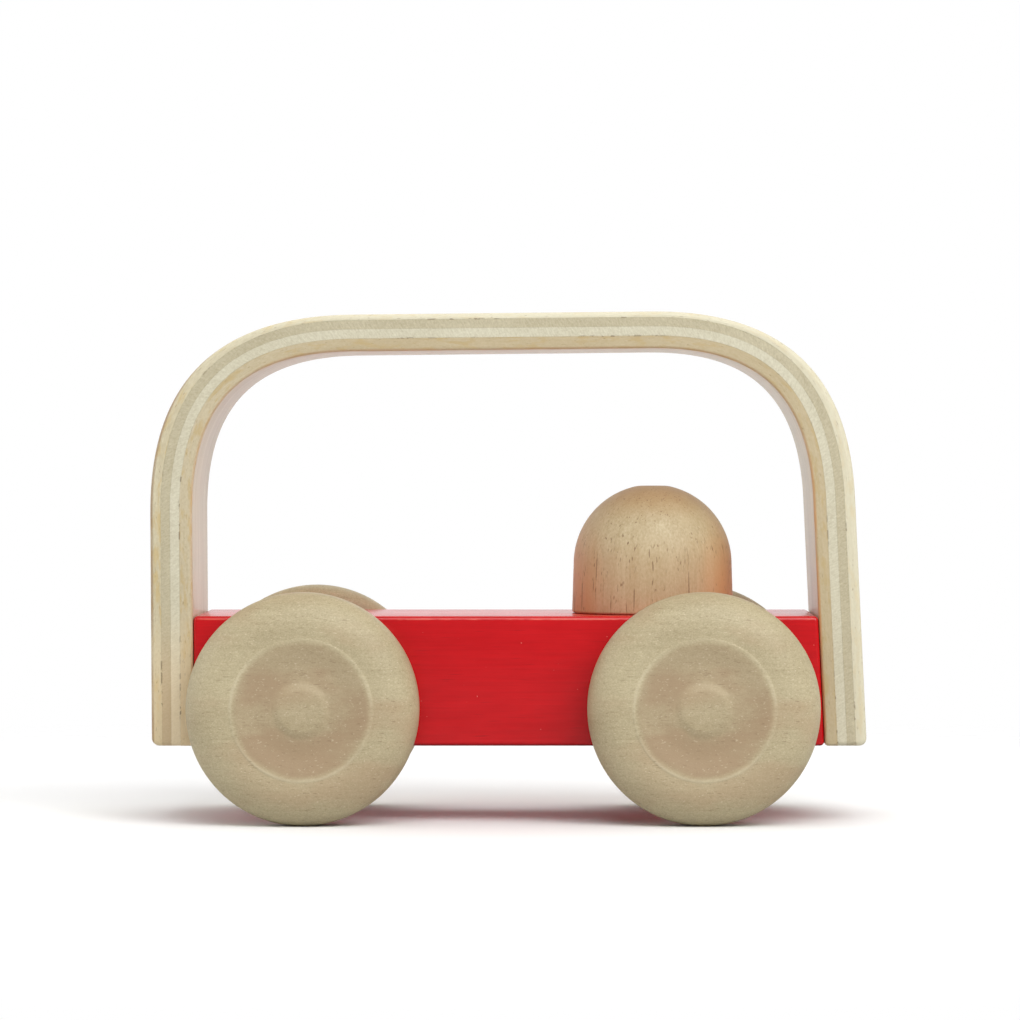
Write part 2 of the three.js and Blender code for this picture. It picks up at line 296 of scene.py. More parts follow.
def points_of(piece):
    places = np.empty(len(piece.data.vertices) * 3)
    piece.data.vertices.foreach_get("co", places)
    return places.reshape(-1, 3)


def give_lay(piece, lay):
    """Stores each point's place in the material's own run, such as along a bent ply, for its grain."""
    attribute = piece.data.attributes.new("lay", "FLOAT_VECTOR", "POINT")
    attribute.data.foreach_set("vector", np.asarray(lay, np.float32).ravel())


def hand_over(piece, node, body, finish):
    """Gives a piece its finish and sets it in a node's stead."""
    piece.data.materials.clear()
    piece.data.materials.append(finish)
    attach(piece, body)
    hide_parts(node)


# The arch's inside line, from the rear foot to the front foot

def down_leg(lean):
    return np.array((sin(lean), -cos(lean)))


def crossing(point, direction, other_point, other_direction):
    """Where two lines in the side view meet."""
    shares = np.linalg.solve(np.array((direction, -other_direction)).T, other_point - point)
    return point + shares[0] * direction


def bend(start, corner, end):
    """Points along a bend from leg to roof or back, and the way ahead at each."""
    t = np.linspace(0, 1, BEND_STEPS + 1)[:, None]
    s = 1 - t
    first = start + (corner - start) * CORNER_FULLNESS
    second = end + (corner - end) * CORNER_FULLNESS
    along = s ** 3 * start + 3 * t * s ** 2 * first + 3 * t * t * s * second + t ** 3 * end
    ahead = s ** 2 * (first - start) + 2 * t * s * (second - first) + t * t * (end - second)
    return along, ahead


def arch_stations():
    """Points along the arch's inside and the outward direction at each, in the side view (X, Z)."""
    deck = block_high.z
    foot = block_low.z
    rear_down, front_down = down_leg(REAR_LEG_LEAN), down_leg(FRONT_LEG_LEAN)
    forward = np.array((cos(ROOF_SLOPE), sin(ROOF_SLOPE)))
    rear_point = np.array((deck_rear - GLUE_LINE, deck))
    front_point = np.array((deck_front + GLUE_LINE, deck))
    roof_point = np.array(((deck_rear + deck_front) / 2, deck + ARCH_CLEAR_HEIGHT))
    rear_corner = crossing(rear_point, rear_down, roof_point, forward)
    front_corner = crossing(front_point, front_down, roof_point, forward)
    rear_bend, rear_ahead = bend(
        rear_corner + rear_down * REAR_CORNER_REACH,
        rear_corner,
        rear_corner + forward * REAR_CORNER_REACH,
    )
    front_bend, front_ahead = bend(
        front_corner - forward * FRONT_CORNER_REACH,
        front_corner,
        front_corner + front_down * FRONT_CORNER_REACH,
    )
    rear_foot = rear_point + rear_down * (foot - deck) / rear_down[1]
    front_foot = front_point + front_down * (foot - deck) / front_down[1]
    points = np.vstack((rear_foot, rear_bend, front_bend, front_foot))
    ahead = np.vstack((-rear_down, rear_ahead, front_ahead, front_down))
    ahead /= np.linalg.norm(ahead, axis=1)[:, None]
    return points, np.column_stack((-ahead[:, 1], ahead[:, 0]))


station_points, station_outward = arch_stations()
station_run = np.append(0, np.cumsum(np.linalg.norm(np.diff(station_points, axis=0), axis=1)))
arch_run = station_run[-1]
crown_share = np.clip(station_outward[:, 1], 0, None) ** CROWN_NARROWNESS
sanded_face = leg_thickness - OUTER_FACE_INSET - CROWN_SANDING * crown_share


def arch_edge(offset):
    """Side view of a line that runs at an offset outside the arch's inside, cut level at both feet."""
    edge = station_points + station_outward * np.broadcast_to(offset, len(station_points))[:, None]
    for end, lean in ((0, REAR_LEG_LEAN), (-1, FRONT_LEG_LEAN)):
        down = down_leg(lean)
        edge[end] += down * (block_low.z - edge[end, 1]) / down[1]
    return edge


def arch_lay(places):
    """Places as (run along the arch, across the car, depth through the plies)."""
    side = places[:, (0, 2)]
    starts, steps = station_points[:-1], np.diff(station_points, axis=0)
    lengths = np.linalg.norm(steps, axis=1)
    share = ((side[:, None] - starts) * steps).sum(2) / lengths ** 2
    inner_share = np.clip(share, 0, 1)
    nearest = np.linalg.norm(side[:, None] - starts - inner_share[..., None] * steps, axis=2).argmin(1)
    pick = np.arange(len(side))
    ends = (nearest == 0) | (nearest == len(lengths) - 1)
    along = np.where(ends, share[pick, nearest], inner_share[pick, nearest])
    foot = starts[nearest] + along[:, None] * steps[nearest]
    outward = np.column_stack((-steps[nearest][:, 1], steps[nearest][:, 0])) / lengths[nearest][:, None]
    depth = ((side - foot) * outward).sum(1)
    return np.column_stack((station_run[nearest] + along * lengths[nearest], places[:, 1], depth))


def leg_dowels():
    """Each leg dowel's node and direction."""
    for end, lean in (("rear", REAR_LEG_LEAN), ("front", FRONT_LEG_LEAN)):
        for side in ("left", "right"):
            yield f"{end}_leg_dowel_{side}", Vector((cos(lean), 0, sin(lean)))


def make_ply(name, inside, outside, glue_faces, foot_round):
    """Draws a ply's two long edges, bridges them, draws the strip across the car and rounds what shows."""
    deselect_all()
    for offset in (inside, outside):
        draw_line([Vector((x, -half_width, z)) for x, z in arch_edge(offset)])
    piece = bpy.context.object
    bpy.ops.mesh.select_all(action="SELECT")
    bpy.ops.mesh.bridge_edge_loops()
    bpy.ops.mesh.select_all(action="SELECT")
    bpy.ops.mesh.extrude_region_move(TRANSFORM_OT_translate={"value": (0, 2 * half_width, 0)})
    close_up()

    def depths(one, other):
        return arch_lay(np.array((one, other)))[:, 2]

    def glued(one, other):
        return any(max(abs(depths(one, other) - glue)) < EDGE_SKIN for glue in glue_faces)

    def crosses(one, other):
        """Whether an edge runs through the ply from face to face above its foot."""
        above_foot = min(one.z, other.z) > block_low.z + 2 * OUTER_FOOT_ROUND
        start, end = depths(one, other)
        return above_foot and abs(end - start) > MM

    def foot_corner(one, other):
        at_foot = max(one.z, other.z) < block_low.z + EDGE_SKIN
        return at_foot and abs(one.y - other.y) > half_width and not glued(one, other)

    def side_edge(one, other):
        on_side = min(abs(one.y), abs(other.y)) > half_width - EDGE_SKIN and one.y * other.y > 0
        return on_side and not glued(one, other) and not crosses(one, other)

    round_edges(foot_corner, foot_round)
    round_edges(side_edge, ARCH_EDGE_ROUND)
    close_up()
    leave_edit_mode()
    bpy.ops.object.transform_apply(location=True)
    for node, direction in leg_dowels():
        drill_for_dowel(piece, node, direction, LEG_DOWEL_LENGTH)
    settle(piece, name)
    give_lay(piece, arch_lay(points_of(piece)))
    return piece


# Block

def make_block():
    """A cube with its ends cut to the legs' leans and its edges rounded, bored for the axles and dowels."""
    deselect_all()
    middle = middle_of("chassis_block")
    height = block_high.z - block_low.z
    bpy.ops.mesh.primitive_cube_add(size=1, location=((deck_rear + deck_front) / 2, 0, middle.z))
    piece = bpy.context.object
    piece.scale = (deck_front - deck_rear, 2 * half_width, height)
    bpy.ops.object.transform_apply(location=True, rotation=True, scale=True)
    bpy.ops.object.mode_set(mode="EDIT")

    def lower_edge_at(end):
        return lambda *corners: all(abs(corner.x - end) < MM and corner.z < middle.z for corner in corners)

    for end, lean in ((deck_rear, REAR_LEG_LEAN), (deck_front, FRONT_LEG_LEAN)):
        select_edges(lower_edge_at(end))
        bpy.ops.transform.translate(value=(height * tan(lean), 0, 0))
    bpy.ops.mesh.select_all(action="SELECT")
    bpy.ops.mesh.bevel(offset=BLOCK_EDGE_ROUND, segments=EDGE_STEPS, affect="EDGES")
    close_up()
    leave_edit_mode()
    for axle in (rear_axle, front_axle):
        drill(piece, axle, ACROSS, pin_radius("rear_axle") + RUNNING_GAP, 4 * half_width)
    for node, direction in leg_dowels():
        drill_for_dowel(piece, node, direction, LEG_DOWEL_LENGTH)
    drill_for_dowel(piece, "driver_dowel", UPRIGHT, size_of("driver_dowel").z)
    return settle(piece, "painted_block")


# Turned pieces

def make_driver():
    """Domed figure with tapering sides, a small flat on its head and a blind hole underneath."""
    low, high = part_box("driver")
    height = high.z - low.z
    base = (high.x - low.x) / 2
    dome = DRIVER_DOME_DIAMETER / 2
    flat = DRIVER_FLAT_DIAMETER / 2
    dome_centre = height - sqrt(dome ** 2 - flat ** 2)
    _, dowel_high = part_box("driver_dowel")
    bore = pin_radius("driver_dowel") + GLUED_HOLE_GAP
    bore_end = dowel_high.z + HOLE_END_GAP - low.z
    foot = DRIVER_BASE_ROUND
    profile = [
        (0, bore_end),
        (bore, bore_end),
        (bore, 0),
        *arc((base - foot, foot), foot, foot, -pi / 2, 0),
        *arc((0, dome_centre), dome, dome, 0, acos((flat + DRIVER_FLAT_ROUND) / dome), DOME_STEPS),
        (flat - DRIVER_FLAT_ROUND, height),
        (0, height),
    ]
    middle = middle_of("driver")
    return settle(turn(profile, DRIVER_SIDES), "driver_figure", (middle.x, middle.y, low.z), (pi / 2, 0, 0))


def make_pin(name, node, direction, length):
    """A round pin with chamfered ends, in a node's place."""
    radius = pin_radius(node)
    half = length / 2
    profile = [
        (0, -half),
        (radius - DOWEL_CHAMFER, -half),
        (radius, DOWEL_CHAMFER - half),
        (radius, half - DOWEL_CHAMFER),
        (radius - DOWEL_CHAMFER, half),
        (0, half),
    ]
    rotation = direction.to_track_quat("Y", "Z").to_euler()
    return settle(turn(profile, PIN_SIDES), name, middle_of(node), rotation)


def wheel_profile():
    """Half section from the blind bore round the tread to the hub, with the face towards +Y."""
    wheel = size_of("rear_wheel_right").z / 2
    bore = pin_radius("rear_axle") + GLUED_HOLE_GAP
    bore_end = WHEEL_BORE_DEPTH - SPACER_HEIGHT
    spacer = SPACER_DIAMETER / 2
    ease = SPACER_EDGE_ROUND
    shoulder = INNER_RIM_ROUND
    face = WHEEL_THICKNESS - BEAD_RISE
    rim_centre = (wheel - RIM_ROUND_WIDTH, face - RIM_ROUND_DEPTH)
    bead = BEAD_DIAMETER / 2
    floor = WHEEL_THICKNESS - DISH_DEPTH
    hub = HUB_DIAMETER / 2
    hub_top = floor + HUB_RISE
    return [
        (0, bore_end),
        (bore, bore_end),
        (bore, -SPACER_HEIGHT),
        *arc((spacer - ease, ease - SPACER_HEIGHT), ease, ease, -pi / 2, 0),
        (spacer, 0),
        *arc((wheel - shoulder, shoulder), shoulder, shoulder, -pi / 2, 0, INNER_RIM_STEPS),
        *arc(rim_centre, RIM_ROUND_WIDTH, RIM_ROUND_DEPTH, 0, pi / 2, RIM_STEPS),
        *swell((bead + BEAD_SLOPE, face), (bead, WHEEL_THICKNESS)),
        *swell((bead, WHEEL_THICKNESS), (bead - DISH_SLOPE, floor), DISH_STEPS)[1:],
        *swell((hub, floor), (hub - HUB_SHOULDER, hub_top), HUB_STEPS),
        (0, hub_top),
    ]


def make_wheels():
    """One turned wheel, copied to the four places."""
    pattern = turn(wheel_profile(), WHEEL_SIDES)
    give_lay(pattern, points_of(pattern))
    for end, axle in (("rear", rear_axle), ("front", front_axle)):
        for side, facing in (("left", 0), ("right", pi)):
            select_alone(pattern)
            bpy.ops.object.duplicate(linked=False)
            wheel = bpy.context.object
            node = f"{end}_wheel_{side}"
            low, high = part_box(node)
            seat = low.y + SPACER_HEIGHT if side == "left" else high.y - SPACER_HEIGHT
            settle(wheel, f"turned_{node}", (axle.x, seat, axle.z), (0, 0, facing))
            yield node, f"{end}_wheelset", wheel
    bpy.data.objects.remove(pattern)


# Finishes

def srgb(red, green, blue):
    """A colour as a screen shows it, 0 to 255, in Blender's linear light."""
    return tuple(((c / 255 + 0.055) / 1.055) ** 2.4 for c in (red, green, blue)) + (1.0,)


WHEEL_DARK = srgb(166, 150, 116)
WHEEL_LIGHT = srgb(210, 198, 162)
WHEEL_WARM = srgb(182, 152, 120)
WHEEL_DISH = srgb(168, 142, 111)
# Colour of the painted highlights on the wheels: the bead ring and the glinting specks
WHEEL_HIGHLIGHT = srgb(224, 213, 182)
WHEEL_PORE = srgb(132, 106, 76)
DRIVER_DARK = srgb(181, 160, 121)
DRIVER_LIGHT = srgb(211, 197, 162)
# Painted shade for the top of the dome
DRIVER_CROWN_SHADE = srgb(172, 130, 84)
# Golden orange of the painted shade on the driver's sides and the painted red bounce light low down
DRIVER_AMBER_SHADE_AND_BOUNCE = srgb(216, 164, 112)
DRIVER_PORE = srgb(112, 62, 24)
VENEER_PORE = srgb(140, 106, 62)
FACE_FILLER = srgb(104, 72, 38)
CORE_FILLER = srgb(112, 82, 46)
# Lacquer stain with painted red bounce light, along the inside edges
INSIDE_STAIN_AND_BOUNCE = srgb(222, 154, 92)
OUTSIDE_STAIN = srgb(150, 104, 64)
RED_DARK = srgb(188, 10, 19)
RED_LIGHT = srgb(220, 19, 28)
RED_STREAK = srgb(124, 8, 14)
# Painted shade for the bottom edges of the block
RED_LOW_SHADE = srgb(110, 6, 12)
# Painted highlight under the top edges of the block
RED_RUBBED_HIGHLIGHT = srgb(236, 104, 84)
RED_DUST = srgb(236, 150, 140)
DOWEL_DARK = srgb(190, 166, 122)
DOWEL_LIGHT = srgb(222, 203, 164)


class Shade:
    """A node's output. Sums and products of shades add Math nodes."""

    def __init__(self, nodes, output):
        self.nodes = nodes
        self.output = output

    def maths(self, operation, first, second=0.0):
        return self.nodes.node("ShaderNodeMath", {0: first, 1: second}, operation=operation)

    def __add__(self, other):
        return self.maths("ADD", self, other)

    def __radd__(self, other):
        return self.maths("ADD", other, self)

    def __sub__(self, other):
        return self.maths("SUBTRACT", self, other)

    def __rsub__(self, other):
        return self.maths("SUBTRACT", other, self)

    def __mul__(self, other):
        return self.maths("MULTIPLY", self, other)

    def __rmul__(self, other):
        return self.maths("MULTIPLY", other, self)

    def __pow__(self, other):
        return self.maths("POWER", self, other)

    def __abs__(self):
        return self.maths("ABSOLUTE", self)

    def larger(self, other):
        return self.maths("MAXIMUM", self, other)

    def wave(self):
        """Rises and falls between 0 and 1 as the value grows."""
        return self.maths("SINE", self) * 0.5 + 0.5

    def between(self, low, high):
        """0 before low and 1 past high, smooth in between; low may be the larger."""
        sockets = {"Value": self, "From Min": low, "From Max": high}
        return self.nodes.node("ShaderNodeMapRange", sockets, interpolation_type="SMOOTHSTEP")

    def near(self, value, reach):
        """1 at a value, 0 at a reach away from it."""
        return abs(self - value).between(reach, 0.0)

    def parts(self):
        """A vector's three parts."""
        split = self.nodes.node("ShaderNodeSeparateXYZ", {0: self})
        return [Shade(self.nodes, output) for output in split.output.node.outputs]


class Nodes:
    """A node tree under way."""

    def __init__(self, tree):
        self.tree = tree

    def node(self, kind, sockets, output=0, **settings):
        """Adds a node: its settings first, then the values or links of its sockets."""
        node = self.tree.nodes.new(kind)
        for setting, value in settings.items():
            setattr(node, setting, value)
        for socket, value in sockets.items():
            self.feed(node.inputs[socket], value)
        return Shade(self, node.outputs[output])

    def feed(self, socket, value):
        if isinstance(value, Shade):
            self.tree.links.new(value.output, socket)
        else:
            socket.default_value = value

    def mix(self, share, first, second):
        """Blends two colours."""
        return self.node("ShaderNodeMix", {0: share, 6: first, 7: second}, 2, data_type="RGBA")

    def light_path(self, output):
        return self.node("ShaderNodeLightPath", {}, output)


class Finish(Nodes):
    """A material under way, with its main shader."""

    def __init__(self, name, **constants):
        self.material = bpy.data.materials.new(name)
        self.material.use_nodes = True
        super().__init__(self.material.node_tree)
        self.shader = self.tree.nodes["Principled BSDF"]
        self.paint(**constants)

    def paint(self, **sockets):
        """Sets or feeds the shader's sockets."""
        for socket, value in sockets.items():
            self.feed(self.shader.inputs[socket.replace("_", " ")], value)
        return self.material

    def lay(self):
        """The place that a piece stored along its own material's run."""
        return self.node("ShaderNodeAttribute", {}, "Vector", attribute_name="lay")

    def place(self, origin=(0, 0, 0)):
        """Place in the car, from an origin."""
        whole = self.node("ShaderNodeTexCoord", {}, "Object")
        return self.node("ShaderNodeMapping", {"Vector": whole, "Location": [-part for part in origin]})

    def grain(self, vector, size, detail, roughness=0.5):
        """Noise from 0 to 1 whose patches have a size along each axis, in millimetres."""
        scale = [1 / (part * MM) for part in size]
        scaled = self.node("ShaderNodeMapping", {"Vector": vector, "Scale": scale})
        sockets = {"Vector": scaled, "Scale": 1.0, "Detail": detail, "Roughness": roughness}
        return self.node("ShaderNodeTexNoise", sockets)

    def bump(self, height, distance):
        return self.node("ShaderNodeBump", {"Height": height, "Distance": distance, "Strength": 1.0})


def tone_of(*noises):
    """A tone about the middle that each noise swings by its share."""
    tone = 0.5
    for noise, share in noises:
        tone = tone + (noise - 0.5) * share
    return tone


def wheel_wood():
    """Pale turned wood with faint level grain, darker and pinker in the tool-finished dish, with a painted
    highlight on its bead and painted glints.
    """
    finish = Finish("wheel_wood")
    lay = finish.lay()
    across, along, up = lay.parts()
    broad = finish.grain(lay, (40, 20, 12), 3)
    warm = finish.grain(lay, (22, 25, 9), 3)
    lines = finish.grain(lay, (18, 4, 0.7), 3, 0.6)
    mottle = finish.grain(lay, (1.6, 0.8, 0.7), 2, 0.6)
    speckle = finish.grain(lay, (0.4, 0.4, 0.28), 2, 0.6)
    # Painted glints: pale dots where light would catch the bumpy grain
    glint_flecks = finish.grain(lay, (0.7, 0.5, 0.35), 1).between(0.66, 0.74)
    dashes = finish.grain(lay, (1.6, 0.6, 0.3), 1).between(0.66, 0.74)
    cracks = finish.grain(lay, (22, 6, 0.5), 1).between(0.72, 0.78)

    bead = BEAD_DIAMETER / 2
    radius = (across * across + up * up) ** 0.5
    on_face = along.between(9 * MM, 10 * MM)
    past_hub = radius.between(5 * MM, 8 * MM)
    in_dish = radius.between(bead, bead - 1.6 * MM) * (0.45 + past_hub * 0.55) * on_face
    # Painted highlight: a pale ring where light would catch the raised bead
    bead_highlight = radius.near(bead, 0.7 * MM) * on_face * broad.between(0.3, 0.65)

    tone = tone_of((broad, 0.9), (lines, 0.4), (mottle, 0.5), (speckle, 1.2))
    wood = finish.mix(tone, WHEEL_DARK, WHEEL_LIGHT)
    wood = finish.mix(warm.between(0.45, 0.7) * 0.45, wood, WHEEL_WARM)
    wood = finish.mix(in_dish * (0.4 + warm.between(0.4, 0.62) * 0.34), wood, WHEEL_DISH)
    wood = finish.mix(bead_highlight * 0.32, wood, WHEEL_HIGHLIGHT)
    wood = finish.mix(glint_flecks * 0.4, wood, WHEEL_HIGHLIGHT)
    wood = finish.mix(dashes * 0.4 + cracks * 0.12, wood, WHEEL_PORE)
    return finish.paint(
        Base_Color=wood,
        Roughness=0.45 + speckle * 0.2,
        Normal=finish.bump(lines * 0.3 + mottle * 0.5 + speckle * 0.8, 0.03 * MM),
    )


def driver_wood():
    """Lacquered wood with upright grain, short pores above and long ones below; painted shade darkens the
    top of the dome, golden orange painted shade its left and right sides and golden orange painted red
    bounce light its lower part.
    """
    low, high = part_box("driver")
    finish = Finish("driver_wood", Coat_Weight=0.08, Coat_Roughness=0.45)
    place = finish.place(((low.x + high.x) / 2, 0, low.z))
    across, _, up = place.parts()
    broad = finish.grain(place, (6, 6, 45), 2)
    bands = finish.grain(place, (2.2, 2.2, 60), 2)
    lines = finish.grain(place, (0.6, 0.6, 22), 3, 0.65)
    speckle = finish.grain(place, (0.45, 0.45, 0.8), 2, 0.6)
    patches = finish.grain(place, (4, 4, 7), 2).between(0.4, 0.58)
    pores = finish.grain(place, (0.45, 0.45, 2.2), 1).between(0.64, 0.72) * patches
    breaks = finish.grain(place, (1.2, 1.2, 5), 3, 0.6).between(0.4, 0.56)
    long_pores = finish.grain(place, (0.62, 0.62, 40), 1).between(0.645, 0.7) * breaks

    low_down = up.between(24 * MM, 7 * MM)
    # Painted shade: the top of the dome darkened against the light from above
    crown_shade = up.between(20 * MM, 31 * MM)
    at_sides = (abs(across) + (broad - 0.5) * 9 * MM).between(10 * MM, 20 * MM)
    # Painted shade on the left and right sides, and painted red bounce light from the block low down
    amber_shade_and_bounce = low_down * 0.25 + at_sides * (0.3 + low_down * 0.3)

    tone = tone_of((bands, 0.8), (lines, 0.9), (speckle, 1.3))
    wood = finish.mix(tone, DRIVER_DARK, DRIVER_LIGHT)
    wood = finish.mix(crown_shade * 0.7, wood, DRIVER_CROWN_SHADE)
    wood = finish.mix(amber_shade_and_bounce, wood, DRIVER_AMBER_SHADE_AND_BOUNCE)
    wood = finish.mix((pores * 0.6).larger(long_pores * low_down * 0.85), wood, DRIVER_PORE)
    return finish.paint(
        Base_Color=wood,
        Roughness=0.48 + speckle * 0.15,
        Normal=finish.bump(lines * 0.5 + speckle * 0.6 - pores - long_pores, 0.03 * MM),
    )


def specks_at(finish, lay, depth, glue_face):
    """Gaps and filler that show here and there along a glue line."""
    patches = finish.grain(lay, (1.8, 0.8, 1.2), 2).between(0.52, 0.62)
    runs = finish.grain(lay, (22, 12, 8), 2).between(0.48, 0.6)
    return depth.near(glue_face, 0.3 * MM) * patches * runs


def painted_warm_light_at_foot(run):
    """How much painted warm bounce light the bare edges take on towards the rear foot, lightening them
    there.
    """
    return run.between(36 * MM, 8 * MM) * 0.5


def face_veneer(name, glue_face, coat, dark, light, gold, foot, front, front_share):
    """Veneer whose grain runs along the arch, with gold in its bare edge and stains where it was eased; the
    inside stain also carries painted red bounce light, and the bare edge painted warm light towards the
    rear foot.
    """
    finish = Finish(name, Coat_Weight=coat, Coat_Roughness=0.18)
    lay = finish.lay()
    run, across, depth = lay.parts()
    broad = finish.grain(lay, (26, 8, 4), 3)
    figure = (finish.grain(lay, (160, 15, 12), 2) * 60).wave()
    mottle = finish.grain(lay, (5, 3, 1.4), 3, 0.6).between(0.48, 0.68)
    lines = finish.grain(lay, (12, 0.6, 0.35), 3, 0.6)
    speckle = finish.grain(lay, (0.7, 0.4, 0.4), 2, 0.6)
    dashes = finish.grain(lay, (1.4, 0.4, 0.3), 1).between(0.68, 0.78)
    uneven = finish.grain(lay, (20, 4, 4), 2).between(0.25, 0.55)

    bare_edge = abs(across).between(half_width - ARCH_EDGE_ROUND, half_width - 0.4 * MM)
    eased = abs(across).between(half_width - 1.4 * MM, half_width - 0.7 * MM) * uneven
    to_front = run.between(arch_run * 0.2, arch_run * 0.45)
    to_front_foot = run.between(arch_run * 0.72, arch_run * 0.86)
    up_rear_leg = run.between(arch_run * 0.45, arch_run * 0.3)
    # Partly a lacquer stain and partly painted red bounce light from the block, strongest near the front
    # foot
    inside_edge = depth.between(0.75 * MM, 0.4 * MM) * (0.15 + to_front_foot * 0.55)
    outside_edge = depth.between(leg_thickness - 0.8 * MM, leg_thickness - 0.45 * MM) * up_rear_leg * 0.6

    tone = tone_of((figure, (1 - bare_edge) * 0.3), (broad, 0.7), (lines, 0.6), (speckle, 1.0))
    wood = finish.mix(tone, dark, light)
    wood = finish.mix(mottle * bare_edge * 0.65, wood, gold)
    wood = finish.mix(to_front * bare_edge * front_share, wood, front)
    # Painted bounce light: the bare edge lighter and warmer towards the rear foot
    wood = finish.mix(painted_warm_light_at_foot(run) * bare_edge, wood, foot)
    wood = finish.mix(dashes * 0.4, wood, VENEER_PORE)
    wood = finish.mix(specks_at(finish, lay, depth, glue_face) * 0.7, wood, FACE_FILLER)
    wood = finish.mix(eased * inside_edge, wood, INSIDE_STAIN_AND_BOUNCE)
    wood = finish.mix(eased * outside_edge, wood, OUTSIDE_STAIN)
    return finish.paint(
        Base_Color=wood,
        Roughness=0.42 + speckle * 0.2,
        Normal=finish.bump(lines + speckle - dashes, 0.025 * MM),
    )


def core_veneer(name, glue_face, dark, light, foot):
    """Veneer whose grain runs across the car, so that its edge shows end grain."""
    finish = Finish(name)
    lay = finish.lay()
    run, _, depth = lay.parts()
    slanted = finish.node("ShaderNodeMapping", {"Vector": lay, "Rotation": (0, radians(28), 0)})
    broad = finish.grain(lay, (18, 60, 6), 2)
    ends = finish.grain(slanted, (0.35, 9, 1.3), 2, 0.6)
    speckle = finish.grain(lay, (0.45, 4, 0.45), 2, 0.6)

    tone = tone_of((broad, 0.6), (ends, 1.2), (speckle, 1.1))
    wood = finish.mix(tone, dark, light)
    # Painted bounce light: lighter and warmer towards the rear foot
    wood = finish.mix(painted_warm_light_at_foot(run), wood, foot)
    wood = finish.mix(specks_at(finish, lay, depth, glue_face) * 0.6, wood, CORE_FILLER)
    return finish.paint(
        Base_Color=wood,
        Roughness=0.5 + speckle * 0.2,
        Normal=finish.bump(ends + speckle, 0.04 * MM),
    )


def red_paint():
    """Satin paint over wood: the grain just shows through and dust has set in it; a broken painted
    highlight, patchy as if worn by rubbing, runs under the top edges, and painted shade darkens the bottom
    edges.
    """
    finish = Finish("red_paint")
    place = finish.place()
    _, across, up = place.parts()
    broad = finish.grain(place, (45, 20, 9), 3)
    clouds = finish.grain(place, (9, 5, 3), 3, 0.6)
    lines = finish.grain(place, (24, 0.8, 0.6), 3, 0.65)
    streaks = finish.grain(place, (9, 0.5, 0.4), 1).between(0.62, 0.76) * clouds.between(0.4, 0.62)
    dust = finish.grain(place, (0.7, 0.7, 0.5), 0).between(0.875, 0.91)
    patchy = finish.grain(place, (6, 6, 6), 3).between(0.42, 0.6)

    at_side = abs(across).between(half_width - 1.0 * MM, half_width - 0.5 * MM)
    # Painted highlight: a broken light line just under the top edge, where the rounding would reflect a
    # front lamp
    rubbed_highlight = up.near(block_high.z - 0.75 * MM, 0.3 * MM) * at_side * patchy
    # Painted shade: the bottom edges darkened as if in the shadow under the car
    low_edge_shade = up.between(block_low.z + 0.6 * MM, block_low.z + 0.3 * MM) * at_side

    tone = tone_of((broad, 0.7), (clouds, 0.6), (lines, 0.8))
    paint = finish.mix(tone, RED_DARK, RED_LIGHT)
    paint = finish.mix(streaks * 0.4, paint, RED_STREAK)
    paint = finish.mix(low_edge_shade * 0.6, paint, RED_LOW_SHADE)
    paint = finish.mix(rubbed_highlight * 0.6, paint, RED_RUBBED_HIGHLIGHT)
    paint = finish.mix(dust * 0.7, paint, RED_DUST)
    return finish.paint(
        Base_Color=paint,
        Roughness=0.16 + clouds * 0.12,
        Normal=finish.bump(lines + broad * 2 + clouds, 0.03 * MM),
    )


def dowel_wood():
    """Plain sanded dowel."""
    finish = Finish("dowel_wood", Roughness=0.65)
    lines = finish.grain(finish.place(), (1.5, 20, 0.8), 2)
    return finish.paint(Base_Color=finish.mix(lines, DOWEL_DARK, DOWEL_LIGHT))


# The car

hand_over(make_block(), "chassis_block", "car_body", red_paint())

inner_glue = INNER_PLY + GLUE_SQUEEZE
first_core = (INNER_PLY + GLUE_LINE - GLUE_SQUEEZE, INNER_PLY + GLUE_LINE + CORE_PLY + GLUE_SQUEEZE)
second_core = tuple(offset + CORE_PLY + GLUE_LINE for offset in first_core)
outer_glue = second_core[0] + CORE_PLY + GLUE_LINE
# Each veneer's foot colour is painted warm bounce light towards the rear foot
outer_finish = face_veneer(
    "outer_veneer",
    glue_face=outer_glue,
    coat=0.15,
    dark=srgb(196, 182, 146),
    light=srgb(226, 217, 188),
    gold=srgb(208, 182, 122),
    foot=srgb(238, 212, 165),
    front=srgb(234, 230, 206),
    front_share=0.5,
)
inner_finish = face_veneer(
    "inner_veneer",
    glue_face=inner_glue,
    coat=0.4,
    dark=srgb(190, 174, 138),
    light=srgb(220, 208, 178),
    gold=srgb(200, 174, 118),
    foot=srgb(255, 226, 176),
    front=srgb(190, 167, 123),
    front_share=0.4,
)
pale_finish = core_veneer(
    "pale_core_veneer",
    glue_face=first_core[0],
    dark=srgb(200, 192, 164),
    light=srgb(226, 221, 198),
    foot=srgb(255, 228, 184),
)
dark_finish = core_veneer(
    "dark_core_veneer",
    glue_face=second_core[1],
    dark=srgb(182, 171, 140),
    light=srgb(210, 201, 172),
    foot=srgb(222, 188, 143),
)
inner_ply = make_ply("inner_ply", 0, inner_glue, (inner_glue,), INNER_FOOT_ROUND)
hand_over(inner_ply, "arch_inner_ply", "car_body", inner_finish)
inner_core = make_ply("inner_core_ply", *first_core, first_core, OUTER_FOOT_ROUND)
hand_over(inner_core, "arch_inner_core_ply", "car_body", pale_finish)
outer_core = make_ply("outer_core_ply", *second_core, second_core, OUTER_FOOT_ROUND)
hand_over(outer_core, "arch_outer_core_ply", "car_body", dark_finish)
outer_ply = make_ply("outer_ply", outer_glue, sanded_face, (outer_glue,), OUTER_FOOT_ROUND)
hand_over(outer_ply, "arch_outer_ply", "car_body", outer_finish)

hand_over(make_driver(), "driver", "car_body", driver_wood())

